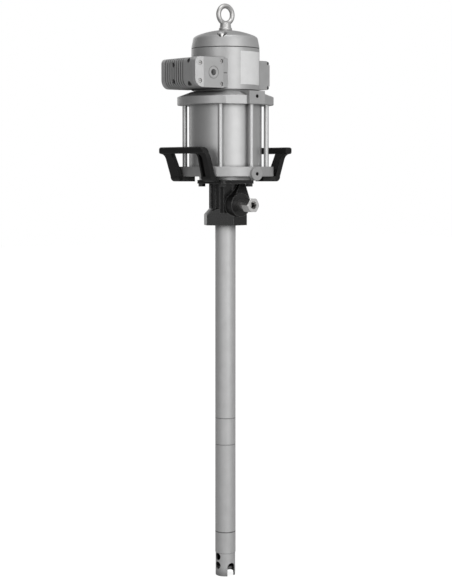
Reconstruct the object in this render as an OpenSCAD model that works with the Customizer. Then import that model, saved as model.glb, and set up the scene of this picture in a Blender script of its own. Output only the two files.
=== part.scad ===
// Air-driven grease pump with a drum-length suction tube.
// The origin is on the tube axis at the underside of the outlet body, +Z is up,
// -Y is the side of the grease outlet, the valve block is on -X and the exhaust box on +X.

/* [Suction tube] */
// Distance from the underside of the outlet body to the lowest edge of the inlet foot
tube_reach = 860; // [820:10:1000]
// Outer diameter of the suction tube
tube_od = 50; // [49:0.5:56]
// Bore of the riser tube
riser_bore = 40; // [38:0.5:41]
// Bore of the pump cylinder
cylinder_bore = 38; // [36:0.5:40]
// Length of the threaded sleeve between riser and cylinder
coupling_len = 65; // [60:1:80]
// Cylinder length above the highest place of the pump piston
cylinder_lead = 55; // [45:1:70]
// Length of the open inlet foot below its step
foot_len = 56; // [54:1:66]
// Outer diameter of the inlet foot
foot_od = 48.2; // [47:0.1:50]
// Diameter of the round inlet holes in the foot
foot_hole_d = 18; // [14:0.5:20]
// Width of the arched inlet slot in the foot
foot_slot_w = 21; // [18:0.5:26]
// Height of the arched inlet slot in the foot
foot_slot_h = 32; // [28:0.5:36]

/* [Stroke] */
// Travel of the air piston, the rods and the pump piston
stroke = 80; // [60:1:84]
// Height of the piston above its lowest place when the pump is at rest
rest_rise = 11; // [0:1:40]
// Lift of the annular foot check
foot_check_lift = 8; // [5:0.5:10]
// Lift of the ball in the pump piston
ball_lift = 4; // [3:0.5:5]
// Travel of the valve spool
spool_travel = 14; // [8:1:16]
// Push travel of a pilot pin
pilot_travel = 5; // [3:0.5:6]

/* [Outlet body] */
// Height of the outlet body with its top plate
body_h = 110; // [106:1:130]
// Thickness of the top plate
plate_t = 9; // [7:0.5:12]
// Width of the square top plate
plate_w = 106; // [100:1:116]
// Radius of the round column
column_r = 37; // [36:0.5:42]
// Height of the outlet axis above the underside
outlet_z = 50; // [44:1:54]
// Radius of the outlet boss
outlet_boss_r = 29; // [24:0.5:32]
// Distance from the tube axis to the face of the outlet boss
outlet_boss_y = 61; // [56:1:70]
// Width across the flats of the outlet fitting
fitting_af = 32; // [27:1:36]
// Radius of the tapped bore in the outlet fitting
outlet_bore_r = 9.3; // [7:0.1:10]

/* [Air motor] */
// Bore of the barrel
barrel_bore = 160; // [150:1:164]
// Wall of the barrel
barrel_wall = 8.5; // [5:0.5:10]
// Radius of both flanges
flange_r = 117.5; // [114:0.5:125]
// Thickness of the lower flange
lower_flange_t = 24; // [20:1:30]
// Height of the hub under the lower flange
hub_h = 8.5; // [6:0.5:12]
// Thickness of the upper flange at its rim
upper_rim_t = 20; // [18:1:26]
// Height of the cone above that rim
shoulder_h = 12; // [8:0.5:16]
// Height of the air piston
piston_h = 48; // [44:1:56]
// Thickness of the rubber stop rings
bumper_h = 10; // [8:0.5:12]
// Diameter of the piston rod
rod_d = 25; // [20:0.5:27]
// Distance of the tie rods' axes from the rim of the flanges
tie_inset = 17.5; // [16:0.5:20]
// Diameter of a tie rod
tie_rod_d = 12; // [10:0.5:12]

/* [Valve head] */
// Radius of the head and its cap
head_r = 83; // [81:0.5:88]
// Height of the head above its neck
head_h = 100.5; // [98:0.5:110]
// Height of the straight side of the cap
cap_side_h = 22; // [18:0.5:28]
// Rise of the domed top above the shoulder of the cap
dome_rise = 12.5; // [8:0.5:16]
// Distance from the head axis to the mounting face of the valve block
valve_face_x = 59; // [57:0.5:64]
// Depth of the valve block away from the head
valve_depth = 84; // [80:1:90]
// Height of the valve block
valve_h = 72; // [70:1:78]
// Length of the valve block with both covers
valve_len = 144; // [136:1:160]
// Thickness of a valve end cover
cover_t = 14; // [12:1:18]
// Distance from the mounting face to the spool axis
spool_x = 32.5; // [30:0.5:36]
// Radius of the tapped air inlet
inlet_bore_r = 7.5; // [5:0.1:8]
// Reach of the exhaust box from the head axis
exhaust_x = 101; // [96:1:112]
// Width of the exhaust box
exhaust_w = 94; // [86:1:100]
// Inner diameter of the lifting eye
eye_id = 30; // [26:1:32]
// Thickness of the lifting eye
eye_wire_d = 12; // [10:0.5:13]

/* [Handles] */
// Length of a handle grip from its tip to its bent end
grip_len = 181; // [166:1:190]
// Distance from the axis to the outer face of a grip
grip_x = 131; // [128:0.5:140]
// Depth of a grip
grip_w = 18; // [14:0.5:20]
// Height of a grip
grip_h = 16; // [12:0.5:18]
// Height of the grip's top above the underside of the handle's feet
handle_rise = 83; // [76:1:92]
// Distance along the flange from the handle's middle to the outer side of the bent arm
bend_y = 86; // [80:0.5:90]
// Outer radius of the bent end of a handle
bend_r = 28; // [20:1:34]

/* [Hidden] */
$fn = 96;

// Shared clearances
over = 1;
fit = 0.05;
run = 0.05;
air = 0.3;
seat = 0.02;
quarter = 90;

// Heights of the lower pump, from the foot up
tube_r = tube_od / 2;
riser_r = riser_bore / 2;
cyl_r = cylinder_bore / 2;
foot_r = foot_od / 2;
plate_gap = 4;
plate_h = 8;
foot_seat_t = 15;
check_h = 8;
check_room = 2;
pump_piston_h = 62;
foot_valve_len = plate_gap + plate_h + stroke + over + foot_seat_t - foot_len;
cylinder_len = check_h + foot_check_lift + check_room + stroke + pump_piston_h + cylinder_lead;
z_foot = -tube_reach;
z_foot_top = z_foot + foot_len;
z_seat = z_foot_top + foot_valve_len;
z_cyl_top = z_seat + cylinder_len;
z_coupling_top = z_cyl_top + coupling_len;
z_plate = z_foot + plate_gap + rest_rise;
z_pump_piston = z_seat + check_h + foot_check_lift + check_room + rest_rise;
z_pump_piston_top = z_pump_piston + pump_piston_h;
spigot_wall = 2.4;
spigot_r = max(riser_r, cyl_r) + spigot_wall;
spigot_len = 20;
tube_sink = 3;
rise_left = stroke - rest_rise;

// Heights of the air motor, from the outlet body up
z_flange = body_h + hub_h;
z_barrel = z_flange + lower_flange_t;
end_gap = 0.5;
barrel_gap = stroke + piston_h + 2 * (bumper_h + end_gap);
z_upper = z_barrel + barrel_gap;
z_rim_top = z_upper + upper_rim_t;
z_flange_top = z_rim_top + shoulder_h;
z_piston = z_barrel + bumper_h + end_gap + rest_rise;
z_piston_top = z_piston + piston_h;
barrel_r = barrel_bore / 2;
barrel_or = barrel_r + barrel_wall;
barrel_seat = 5;
rod_r = rod_d / 2;
hub_r = 64;
bush_r = rod_r + 6;
tie_r = tie_rod_d / 2;
tie_circle_r = flange_r - tie_inset;
tie_angles = [-135, -90, -45, 45, 90, 135];
nut_h = 10;
nut_af = 18;
nut_pocket_r = 11;
rod_seal_h = 8;
z_bush_top = z_barrel - 3;

// Heights of the valve head
neck_h = 4;
neck_in = 5;
air_way_r = 8;
z_neck_top = z_flange_top + neck_h;
z_head_top = z_neck_top + head_h;
gasket_t = 1;
z_cap = z_head_top + gasket_t;
z_shoulder = z_cap + cap_side_h;
shoulder_r = 10;
z_dome = z_shoulder + shoulder_r + dome_rise;
cap_wall = 6;
cap_screw_circle_r = head_r - 16;
cap_screw_r = 4;
cap_screw_in = 16;
cap_screw_angles = [-135, 45];
pocket_r = 8.5;
z_pocket = z_shoulder + 1;
z_valve = z_neck_top + head_h / 2 - 12.5;
spool_axis_x = -valve_face_x - spool_x;
valve_out_x = -valve_face_x - valve_depth;
valve_half = valve_len / 2;
cover_y = valve_half - cover_t;
sleeve_r = 14;
spool_r = 10;

// Lower pump rods
pump_rod_r = 8;
priming_rod_r = 6;
rod_coupling_h = 50;
rod_coupling_r = 15;
packing_r = rod_r + 9;
z_packing = 60;
packing_h = 30;
z_rod_end = z_packing - rise_left - rod_coupling_h / 2 - 6;
ball_r = 9;
ball_seat_r = 7;

// Helpers

module ring(outer, inner, height) {
    difference() {
        cylinder(r = outer, h = height);
        translate([0, 0, -over]) cylinder(r = inner, h = height + 2 * over);
    }
}

// A round solid whose outer edges are broken by a chamfer
module turned(radius, height, chamfer) {
    rotate_extrude()
        polygon([[0, 0], [radius - chamfer, 0], [radius, chamfer],
                 [radius, height - chamfer], [radius - chamfer, height], [0, height]]);
}

// A flat plate with round vertical corners, made of true cylinders
module rounded_block(x, y, height, corner) {
    for (sx = [-1, 1], sy = [-1, 1])
        translate([sx * (x / 2 - corner), sy * (y / 2 - corner), 0]) cylinder(r = corner, h = height);
    translate([-x / 2 + corner, -y / 2, 0]) cube([x - 2 * corner, y, height]);
    translate([-x / 2, -y / 2 + corner, 0]) cube([x, y - 2 * corner, height]);
}

module hexagon(across_flats, height) {
    cylinder(r = across_flats / 2 / cos(30), h = height, $fn = 6);
}

// Children turned so that their +Z points along -Y at the given place
module facing_front(x, y, z) {
    translate([x, y, z]) rotate([quarter, 0, 0]) children();
}

// Children turned so that their +Z points along -X at the given place
module facing_left(x, y, z) {
    translate([x, y, z]) rotate([0, -quarter, 0]) children();
}

// Children turned so that their +Z points along +X at the given place
module facing_right(x, y, z) {
    translate([x, y, z]) rotate([0, quarter, 0]) children();
}

module polar(angles, radius) {
    for (a = angles) rotate([0, 0, a]) translate([radius, 0, 0]) children();
}

// A socket cap screw with its head resting on z = 0 and its shank going down
module cap_screw(shank_r, head_r, head_h, shank_h) {
    socket_r = head_r * 0.55;
    difference() {
        union() {
            cylinder(r = head_r, h = head_h);
            translate([0, 0, -shank_h]) cylinder(r = shank_r, h = shank_h + over);
        }
        translate([0, 0, head_h * 0.4]) cylinder(r = socket_r, h = head_h, $fn = 6);
    }
}

// Points of an arc about a centre, from one angle to another
function arc(centre, radius, from, to, steps) =
    [for (i = [0 : steps]) let (a = from + (to - from) * i / steps)
        [centre[0] + radius * cos(a), centre[1] + radius * sin(a)]];

// A round wire swept along a helix, as a closed spring with its lower end at z = 0
module coil_spring(mean_r, wire_r, height, turns) {
    sides = 8;
    per_turn = 14;
    rings = turns * per_turn;
    climb = height - 2 * wire_r;
    points = [for (i = [0 : rings]) let (a = i * 360 / per_turn, z = wire_r + climb * i / rings)
        for (j = [0 : sides - 1]) let (b = j * 360 / sides, r = mean_r + wire_r * cos(b))
            [r * cos(a), r * sin(a), z + wire_r * sin(b)]];
    walls = [for (i = [0 : rings - 1], j = [0 : sides - 1])
        let (k = (j + 1) % sides)
            [i * sides + j, i * sides + k, (i + 1) * sides + k, (i + 1) * sides + j]];
    start = [for (j = [sides - 1 : -1 : 0]) j];
    end = [for (j = [0 : sides - 1]) rings * sides + j];
    polyhedron(points, concat(walls, [start], [end]), convexity = 10);
}

// Valve head

eye_r = eye_id / 2 + eye_wire_d / 2;
eye_neck_r = 16;
eye_neck_h = 15;
eye_thread_r = 10;
eye_thread_h = 26;
z_eye = z_dome + eye_neck_h + eye_id / 2 + eye_wire_d / 2 + 2.5;

module lifting_eye() {
    color("silver") {
        translate([0, 0, z_eye]) rotate([quarter, 0, 0])
            rotate_extrude() translate([eye_r, 0]) circle(r = eye_wire_d / 2);
        translate([0, 0, z_dome]) rotate_extrude()
            polygon([[0, 0], [eye_neck_r, 0], [eye_neck_r, eye_neck_h / 3],
                     [eye_neck_r - 1, eye_neck_h / 3 + 1], [eye_wire_d * 0.75, eye_neck_h],
                     [eye_wire_d / 2 + 1, eye_neck_h + 5], [0, eye_neck_h + 5]]);
        translate([0, 0, z_dome - eye_thread_h]) cylinder(r = eye_thread_r, h = eye_thread_h + over);
    }
}

// Half section of the cap: straight side, round shoulder and shallow dome with a flat eye seat
module cap_outline(inset) {
    r = head_r - inset;
    corner = shoulder_r - inset;
    edge_r = head_r - shoulder_r;
    dome_r = (edge_r * edge_r - eye_neck_r * eye_neck_r) / (2 * dome_rise);
    top = z_dome - inset;
    polygon(concat(
        [[0, z_cap], [r, z_cap]],
        arc([edge_r, z_shoulder], corner, 0, quarter - 8, 8),
        [for (i = [0 : 6]) let (x = edge_r - 3 + (eye_neck_r - edge_r + 3) * i / 6)
            [x, top - (x * x - eye_neck_r * eye_neck_r) / (2 * dome_r)]],
        [[0, top]]
    ));
}

module top_cap() {
    color("lightslategray") difference() {
        union() {
            difference() {
                rotate_extrude() cap_outline(0);
                translate([0, 0, -over]) rotate_extrude() cap_outline(cap_wall);
            }
            translate([0, 0, z_cap]) ring(head_r - over, head_r - cap_wall - 6, 8);
            translate([0, 0, z_dome - eye_thread_h - 2]) cylinder(r = eye_neck_r + 6, h = eye_thread_h - 3);
            polar(cap_screw_angles, cap_screw_circle_r)
                translate([0, 0, z_cap]) cylinder(r = pocket_r + 2, h = z_pocket - z_cap + 4);
        }
        translate([0, 0, z_dome - eye_thread_h]) cylinder(r = eye_thread_r + fit, h = eye_thread_h + over);
        polar(cap_screw_angles, cap_screw_circle_r) {
            translate([0, 0, z_pocket]) cylinder(r = pocket_r, h = z_dome - z_pocket);
            translate([0, 0, z_cap - over]) cylinder(r = cap_screw_r + fit, h = z_pocket - z_cap + 2 * over);
        }
    }
}

module cap_screws() {
    color("dimgray") polar(cap_screw_angles, cap_screw_circle_r)
        translate([0, 0, z_pocket + seat])
            cap_screw(cap_screw_r, 6.5, 8, z_pocket - z_head_top + cap_screw_in);
}

module cap_gasket() {
    color("black") translate([0, 0, z_head_top]) difference() {
        ring(head_r - 0.8, head_r - 14, gasket_t);
        polar(cap_screw_angles, cap_screw_circle_r)
            translate([0, 0, -over]) cylinder(r = cap_screw_r + 0.5, h = gasket_t + 2 * over);
    }
}

head_wall = 9;
head_floor = 14;
head_screw_r = valve_face_x - head_wall - 11;
head_screw_shank_r = 5;
head_screw_in = 15;
head_screw_angles = [0, 90, 180, 270];
pad_half = valve_half - 3;
pad_h = valve_h - 4;
air_port_y = [-34, 0, 34];
air_port_r = 6;
air_port_in = 30;
exhaust_port_r = 16;
exhaust_half = exhaust_w / 2;
exhaust_face_x = 62;
exhaust_h = 71;
exhaust_wall = 5;

module head_casting() {
    color("silver") difference() {
        union() {
            translate([0, 0, z_flange_top]) cylinder(r = head_r - neck_in, h = neck_h + over);
            translate([0, 0, z_neck_top]) turned(head_r, head_h, 0.6);
            // Mounting pad of the valve block, in two tiers with a shallow joint between them
            for (tier = [-1, 1])
                translate([-valve_face_x, -pad_half, z_valve + tier * (pad_h / 4 + 0.6) - pad_h / 4 + 0.6])
                    cube([valve_face_x, 2 * pad_half, pad_h / 2 - 1.2]);
            translate([-valve_face_x, -pad_half + 2, z_valve - pad_h / 2])
                cube([valve_face_x, 2 * pad_half - 4, pad_h]);
        }
        // Flat faces under the valve block and the exhaust box
        translate([-head_r - over, -head_r, z_valve - valve_h / 2 - over])
            cube([head_r - valve_face_x + over, 2 * head_r, valve_h + 2 * over]);
        translate([exhaust_face_x, -head_r, z_valve - exhaust_h / 2 - over])
            cube([head_r, 2 * head_r, exhaust_h + 2 * over]);
        // Air chest
        translate([0, 0, z_neck_top + head_floor])
            cylinder(r = valve_face_x - head_wall, h = head_h);
        translate([0, 0, z_flange_top - over]) cylinder(r = air_way_r, h = neck_h + head_floor + 2 * over);
        for (y = air_port_y)
            facing_left(air_port_in - valve_face_x, y, z_valve)
                cylinder(r = air_port_r, h = air_port_in + over);
        facing_right(exhaust_face_x - air_port_in, 0, z_valve)
            cylinder(r = exhaust_port_r, h = air_port_in + over);
        // Holes of the head screws, the cap screws and the side screws
        polar(head_screw_angles, head_screw_r)
            translate([0, 0, z_flange_top - over])
                cylinder(r = head_screw_shank_r + fit, h = neck_h + head_floor + 2 * over);
        for (p = valve_screw_places)
            facing_left(side_hole_in - valve_face_x, p[0], z_valve + p[1])
                cylinder(r = side_screw_r + fit, h = side_hole_in + over);
        for (p = exhaust_screw_places)
            facing_right(exhaust_face_x - side_hole_in, p[0], z_valve + p[1])
                cylinder(r = side_screw_r + fit, h = side_hole_in + over);
        polar(cap_screw_angles, cap_screw_circle_r)
            translate([0, 0, z_head_top - cap_screw_in - 2])
                cylinder(r = cap_screw_r + fit, h = cap_screw_in + 2 + over);
    }
}

module head_screws() {
    color("dimgray") polar(head_screw_angles, head_screw_r)
        translate([0, 0, z_neck_top + head_floor + seat])
            cap_screw(head_screw_shank_r, 8, 10, head_floor + neck_h + head_screw_in - over);
}

// Side screws of the valve block: distance along Y and height from the spool axis
valve_screw_places = [[-40.5, 27], [-40.5, -27], [19, 19.5], [19, -19.5]];
exhaust_screw_places = [[-42.5, 29.5], [-42.5, -29.5], [42.5, 29.5], [42.5, -29.5]];
side_screw_r = 3;
side_screw_in = 12;
side_hole_in = side_screw_in + 2;
side_head_r = 5;
side_head_h = 5;
side_sink = 8;
side_pocket_r = 5.6;
// End cover screws: distance from the mounting face and height from the spool axis
cover_screw_places = [[71, 21], [71, -21], [9, 27], [9, -27]];
cover_screw_r = 2.5;
cover_screw_in = 11;
cover_head_r = 4.4;
cover_head_h = 4.5;
cover_sink = 7;
cover_pocket_r = 5;

// Section of the valve block across its length, with two rounded outer corners
module valve_section(inset) {
    top_r = 12 - inset;
    low_r = 22 - inset;
    half = valve_h / 2 - inset;
    depth = valve_depth - inset;
    polygon(concat(
        [[gasket_t, -half]],
        arc([depth - low_r, -half + low_r], low_r, -quarter, 0, 8),
        arc([depth - top_r, half - top_r], top_r, 0, quarter, 6),
        [[gasket_t, half]]
    ));
}

// The section laid along Y between two places
module valve_bar(y_from, y_to, inset) {
    translate([-valve_face_x, y_to, z_valve]) rotate([quarter, 0, 0]) mirror([1, 0, 0])
        linear_extrude(y_to - y_from) valve_section(inset);
}

rib_from = -20;
rib_count = 9;
rib_pitch = (cover_y - rib_from) / rib_count;
rib_w = rib_pitch - 3;
rib_d = 2.5;

module valve_body() {
    color("gray") difference() {
        union() {
            valve_bar(-cover_y, cover_y, rib_d);
            // Smooth part at the inlet end, then cooling ribs with round corners
            valve_bar(-cover_y, rib_from, 0);
            for (i = [0 : rib_count - 1])
                valve_bar(rib_from + (i + 1) * rib_pitch - rib_w, rib_from + (i + 1) * rib_pitch, 0);
        }
        facing_front(spool_axis_x, cover_y + over, z_valve)
            cylinder(r = sleeve_r + fit, h = 2 * cover_y + 2 * over);
        for (y = air_port_y)
            facing_left(-valve_face_x + over, y, z_valve) cylinder(r = air_port_r, h = spool_x);
        for (p = valve_screw_places) {
            facing_left(-valve_face_x + over, p[0], z_valve + p[1])
                cylinder(r = side_screw_r + fit, h = valve_depth + 2 * over);
            facing_left(valve_out_x + side_sink, p[0], z_valve + p[1])
                cylinder(r = side_pocket_r, h = side_sink + over);
        }
        for (side = [-1, 1], p = cover_screw_places)
            facing_front(-valve_face_x - p[0], side * cover_y + cover_screw_in + over, z_valve + p[1])
                cylinder(r = cover_screw_r + fit, h = 2 * cover_screw_in + 2 * over);
    }
}

module valve_gasket() {
    color("black") difference() {
        translate([-valve_face_x - gasket_t, -pad_half + 1, z_valve - pad_h / 2])
            cube([gasket_t, 2 * pad_half - 2, pad_h]);
        for (y = air_port_y)
            facing_left(-valve_face_x + over, y, z_valve) cylinder(r = air_port_r, h = 3 * over);
        for (p = valve_screw_places)
            facing_left(-valve_face_x + over, p[0], z_valve + p[1]) cylinder(r = 3.5, h = 3 * over);
    }
}

module valve_sleeve() {
    color("peru") difference() {
        facing_front(spool_axis_x, cover_y - seat, z_valve) ring(sleeve_r, spool_r, 2 * cover_y - 2 * seat);
        for (y = air_port_y, a = [30 : 60 : 330])
            translate([spool_axis_x, y, z_valve]) rotate([0, a, 0]) cylinder(r = 3, h = sleeve_r + over);
    }
}

spool_from = -cover_y + end_gap;
spool_to = cover_y - end_gap - spool_travel;
spool_len = spool_to - spool_from;
spool_land = 12;
spool_lands = 4;
seal_w = 2.4;
seal_depth = 1.8;

// Place along Y of the middle of each land
function land_y(i) = spool_from + spool_land / 2 + i * (spool_len - spool_land) / (spool_lands - 1);

module valve_spool() {
    color("silver") difference() {
        union() {
            facing_front(spool_axis_x, spool_to, z_valve) cylinder(r = spool_r - 3.5, h = spool_len);
            for (i = [0 : spool_lands - 1])
                facing_front(spool_axis_x, land_y(i) + spool_land / 2, z_valve)
                    cylinder(r = spool_r - run, h = spool_land);
        }
        for (i = [0 : spool_lands - 1])
            facing_front(spool_axis_x, land_y(i) + seal_w / 2 + fit, z_valve)
                ring(spool_r + over, spool_r - seal_depth - fit, seal_w + 2 * fit);
    }
}

module spool_seals() {
    color("black") for (i = [0 : spool_lands - 1])
        facing_front(spool_axis_x, land_y(i) + seal_w / 2, z_valve)
            ring(spool_r - run / 2, spool_r - seal_depth, seal_w);
}

bevel_w = 22;
bevel_d = 4;
inner_strip = 3;
boss_ring_r = 15;

// End cover of the valve block, drawn for the -Y side
module end_cover(with_inlet) {
    difference() {
        valve_bar(-valve_half, -cover_y - seat, 0);
        // Sloping strip along the outer edge and a shallow one along the inner edge
        translate([0, 0, z_valve - valve_h / 2 - over]) linear_extrude(valve_h + 2 * over)
            polygon([[valve_out_x - over, -valve_half - over], [valve_out_x + bevel_w, -valve_half - over],
                     [valve_out_x + bevel_w, -valve_half], [valve_out_x - over, -valve_half + bevel_d]]);
        translate([-valve_face_x - inner_strip, -valve_half - over, z_valve - valve_h / 2 - over])
            cube([inner_strip + over, over + 1.5, valve_h + 2 * over]);
        for (p = cover_screw_places) {
            facing_front(-valve_face_x - p[0], -cover_y + over, z_valve + p[1])
                cylinder(r = cover_screw_r + fit, h = cover_t + 2 * over);
            facing_front(-valve_face_x - p[0], -valve_half + cover_sink, z_valve + p[1])
                cylinder(r = cover_pocket_r, h = cover_sink + over);
        }
        if (with_inlet) {
            facing_front(spool_axis_x, -cover_y + over, z_valve)
                cylinder(r = inlet_bore_r, h = cover_t + 2 * over);
            facing_front(spool_axis_x, -valve_half + 0.9, z_valve) ring(boss_ring_r, boss_ring_r - 1.3, 2);
        }
    }
}

module front_valve_cover() {
    color("gainsboro") end_cover(true);
}

module rear_valve_cover() {
    color("gainsboro") mirror([0, 1, 0]) end_cover(false);
}

module valve_cover_screws() {
    color("dimgray") for (side = [0, 1], p = cover_screw_places)
        mirror([0, side, 0])
            facing_front(-valve_face_x - p[0], -valve_half + cover_sink - seat, z_valve + p[1])
                cap_screw(cover_screw_r, cover_head_r, cover_head_h, cover_t - cover_sink + cover_screw_in);
}

module valve_mount_screws() {
    color("dimgray") for (p = valve_screw_places)
        facing_left(valve_out_x + side_sink - seat, p[0], z_valve + p[1])
            cap_screw(side_screw_r, side_head_r, side_head_h, valve_depth - side_sink + side_screw_in);
}

// Section of the exhaust box across its width, with round outer corners
module exhaust_section(inset) {
    depth = exhaust_x - exhaust_face_x - inset;
    half = exhaust_h / 2 - inset;
    corner = 12 - inset;
    polygon(concat(
        [[0, -half]],
        arc([depth - corner, -half + corner], corner, -quarter, 0, 6),
        arc([depth - corner, half - corner], corner, 0, quarter, 6),
        [[0, half]]
    ));
}

slot_count = 9;
slot_pitch = 7.6;
slot_w = 4;
slot_h = 34;
silencer_half = 19;

module exhaust_box() {
    color("gray") difference() {
        translate([exhaust_face_x + seat, exhaust_half, z_valve]) rotate([quarter, 0, 0])
            linear_extrude(exhaust_w) exhaust_section(0);
        translate([exhaust_face_x, exhaust_half - exhaust_wall, z_valve]) rotate([quarter, 0, 0])
            linear_extrude(exhaust_w - 2 * exhaust_wall) exhaust_section(exhaust_wall);
        for (i = [0 : slot_count - 1])
            translate([exhaust_x - exhaust_wall - 2, (i - (slot_count - 1) / 2) * slot_pitch - slot_w / 2,
                       z_valve - slot_h / 2])
                cube([exhaust_wall + 4, slot_w, slot_h]);
        for (p = exhaust_screw_places) {
            facing_right(exhaust_face_x - over, p[0], z_valve + p[1])
                cylinder(r = side_screw_r + fit, h = exhaust_x - exhaust_face_x + 2 * over);
            facing_right(exhaust_x - side_sink, p[0], z_valve + p[1])
                cylinder(r = side_pocket_r, h = side_sink + over);
        }
    }
    // Corner posts that carry the screws
    color("gray") for (p = exhaust_screw_places)
        facing_right(exhaust_face_x + seat, p[0], z_valve + p[1]) difference() {
            cylinder(r = side_screw_r + 1.5, h = exhaust_x - exhaust_face_x - side_sink);
            translate([0, 0, -over]) cylinder(r = side_screw_r + fit, h = exhaust_x - exhaust_face_x);
        }
}

module silencer_element() {
    inner_half = exhaust_half - exhaust_wall - air;
    color("tan") translate([exhaust_face_x + air, -inner_half, z_valve - silencer_half])
        cube([exhaust_x - exhaust_face_x - exhaust_wall - air - seat, 2 * inner_half, 2 * silencer_half]);
}

module exhaust_screws() {
    color("dimgray") for (p = exhaust_screw_places)
        facing_right(exhaust_x - side_sink + seat, p[0], z_valve + p[1])
            cap_screw(side_screw_r, side_head_r, side_head_h,
                      exhaust_x - exhaust_face_x - side_sink + side_screw_in);
}

// Air motor

flat_angles = [-113, -67];
flat_depth = 3.8;
port_half = 23.5;
port_out = 5.5;
port_face_y = -flange_r - port_out;
port_bore_r = 4.3;
port_depth = 10;
port_boss_r = 16;
port_boss_len = 11;
z_upper_port = z_upper + 18;
z_lower_port = z_flange + 6.5;
handle_seat_x = flange_r - 21.5;
handle_screw_r = 4;
handle_screw_x = handle_seat_x - 12;
handle_screw_y = 54;
handle_screw_in = 16;
body_bolt_place = plate_w / 2 - 12;
body_bolt_r = 5;
body_bolt_len = 34;
barrel_seal_h = 2.4;
barrel_seal_in = barrel_r + 1.5;
barrel_seal_out = barrel_or - 2;
bumper_in = 54;
bumper_out = 72;
bumper_sink = 2;
nut_recess = nut_h + 2;
tie_in = 16;
pilot_angles = [45];
pilot_circle_r = 40;
pilot_r = 4;
pilot_head_r = 6.5;
pilot_head_h = 3;
pilot_chamber_r = pilot_head_r + air;
z_upper_tip = z_upper - bumper_h - end_gap + air;
z_lower_tip = z_barrel + bumper_h + end_gap - air;
// Wall and chamber of a pilot pin, of which the pin's travel takes its share
upper_pilot_room = 17;
lower_pilot_room = 21;
z_upper_chamber = z_upper + upper_pilot_room - pilot_travel;
z_lower_chamber = z_barrel - lower_pilot_room + pilot_travel;
spring_wire_r = 0.8;
spring_mean_r = 5;
flange_edge = 1.2;

// Places of the four screws of a square pattern
module four_places(x, y) {
    for (sx = [-1, 1], sy = [-1, 1]) translate([sx * x, sy * y, 0]) children();
}

module upper_flange() {
    color("silver") difference() {
        union() {
            difference() {
                rotate_extrude() polygon([
                    [0, z_upper], [flange_r - flange_edge, z_upper], [flange_r, z_upper + flange_edge],
                    [flange_r, z_rim_top - flange_edge], [flange_r - flange_edge, z_rim_top],
                    [head_r + 1, z_flange_top], [0, z_flange_top]]);
                // Flats on both sides of the port block
                for (a = flat_angles)
                    rotate([0, 0, a]) translate([flange_r - flat_depth, -flange_r, z_upper - over])
                        cube([flange_r, 2 * flange_r, z_flange_top - z_upper + 2 * over]);
            }
            // Upright block of the port in front of the cone
            translate([-port_half, port_face_y, z_upper])
                cube([2 * port_half, -port_face_y - head_r + 2, upper_rim_t + shoulder_h - 1]);
        }
        // Seat and seal groove of the barrel, groove of the stop ring
        translate([0, 0, z_upper - over]) ring(barrel_or + fit, barrel_r - fit, barrel_seat + over);
        translate([0, 0, z_upper]) ring(barrel_seal_out, barrel_seal_in, barrel_seat + barrel_seal_h);
        translate([0, 0, z_upper - over]) ring(bumper_out + fit, bumper_in - fit, bumper_sink + over);
        polar(tie_angles, tie_circle_r)
            translate([0, 0, z_upper - over]) cylinder(r = tie_r + fit, h = tie_in + over);
        polar(head_screw_angles, head_screw_r)
            translate([0, 0, z_flange_top - head_screw_in])
                cylinder(r = head_screw_shank_r + fit, h = head_screw_in + over);
        // Pilot pin with its spring chamber
        polar(pilot_angles, pilot_circle_r) {
            translate([0, 0, z_upper - over])
                cylinder(r = pilot_r + run, h = z_upper_chamber - z_upper + 2 * over);
            translate([0, 0, z_upper_chamber])
                cylinder(r = pilot_chamber_r, h = z_flange_top - z_upper_chamber + over);
        }
        // Air way between the head and the barrel
        translate([0, 0, z_upper - over]) cylinder(r = air_way_r, h = z_flange_top - z_upper + 2 * over);
        facing_front(0, port_face_y + port_depth, z_upper_port)
            cylinder(r = port_bore_r, h = port_depth + over);
    }
}

module barrel() {
    color("silver") translate([0, 0, z_barrel - barrel_seat + seat])
        ring(barrel_or, barrel_r, barrel_gap + 2 * barrel_seat - 2 * seat);
}

module barrel_seals() {
    color("black") for (z = [z_barrel - barrel_seat - barrel_seal_h, z_upper + barrel_seat])
        translate([0, 0, z + seat])
            ring(barrel_seal_out - fit, barrel_seal_in + fit, barrel_seal_h - 2 * seat);
}

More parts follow.
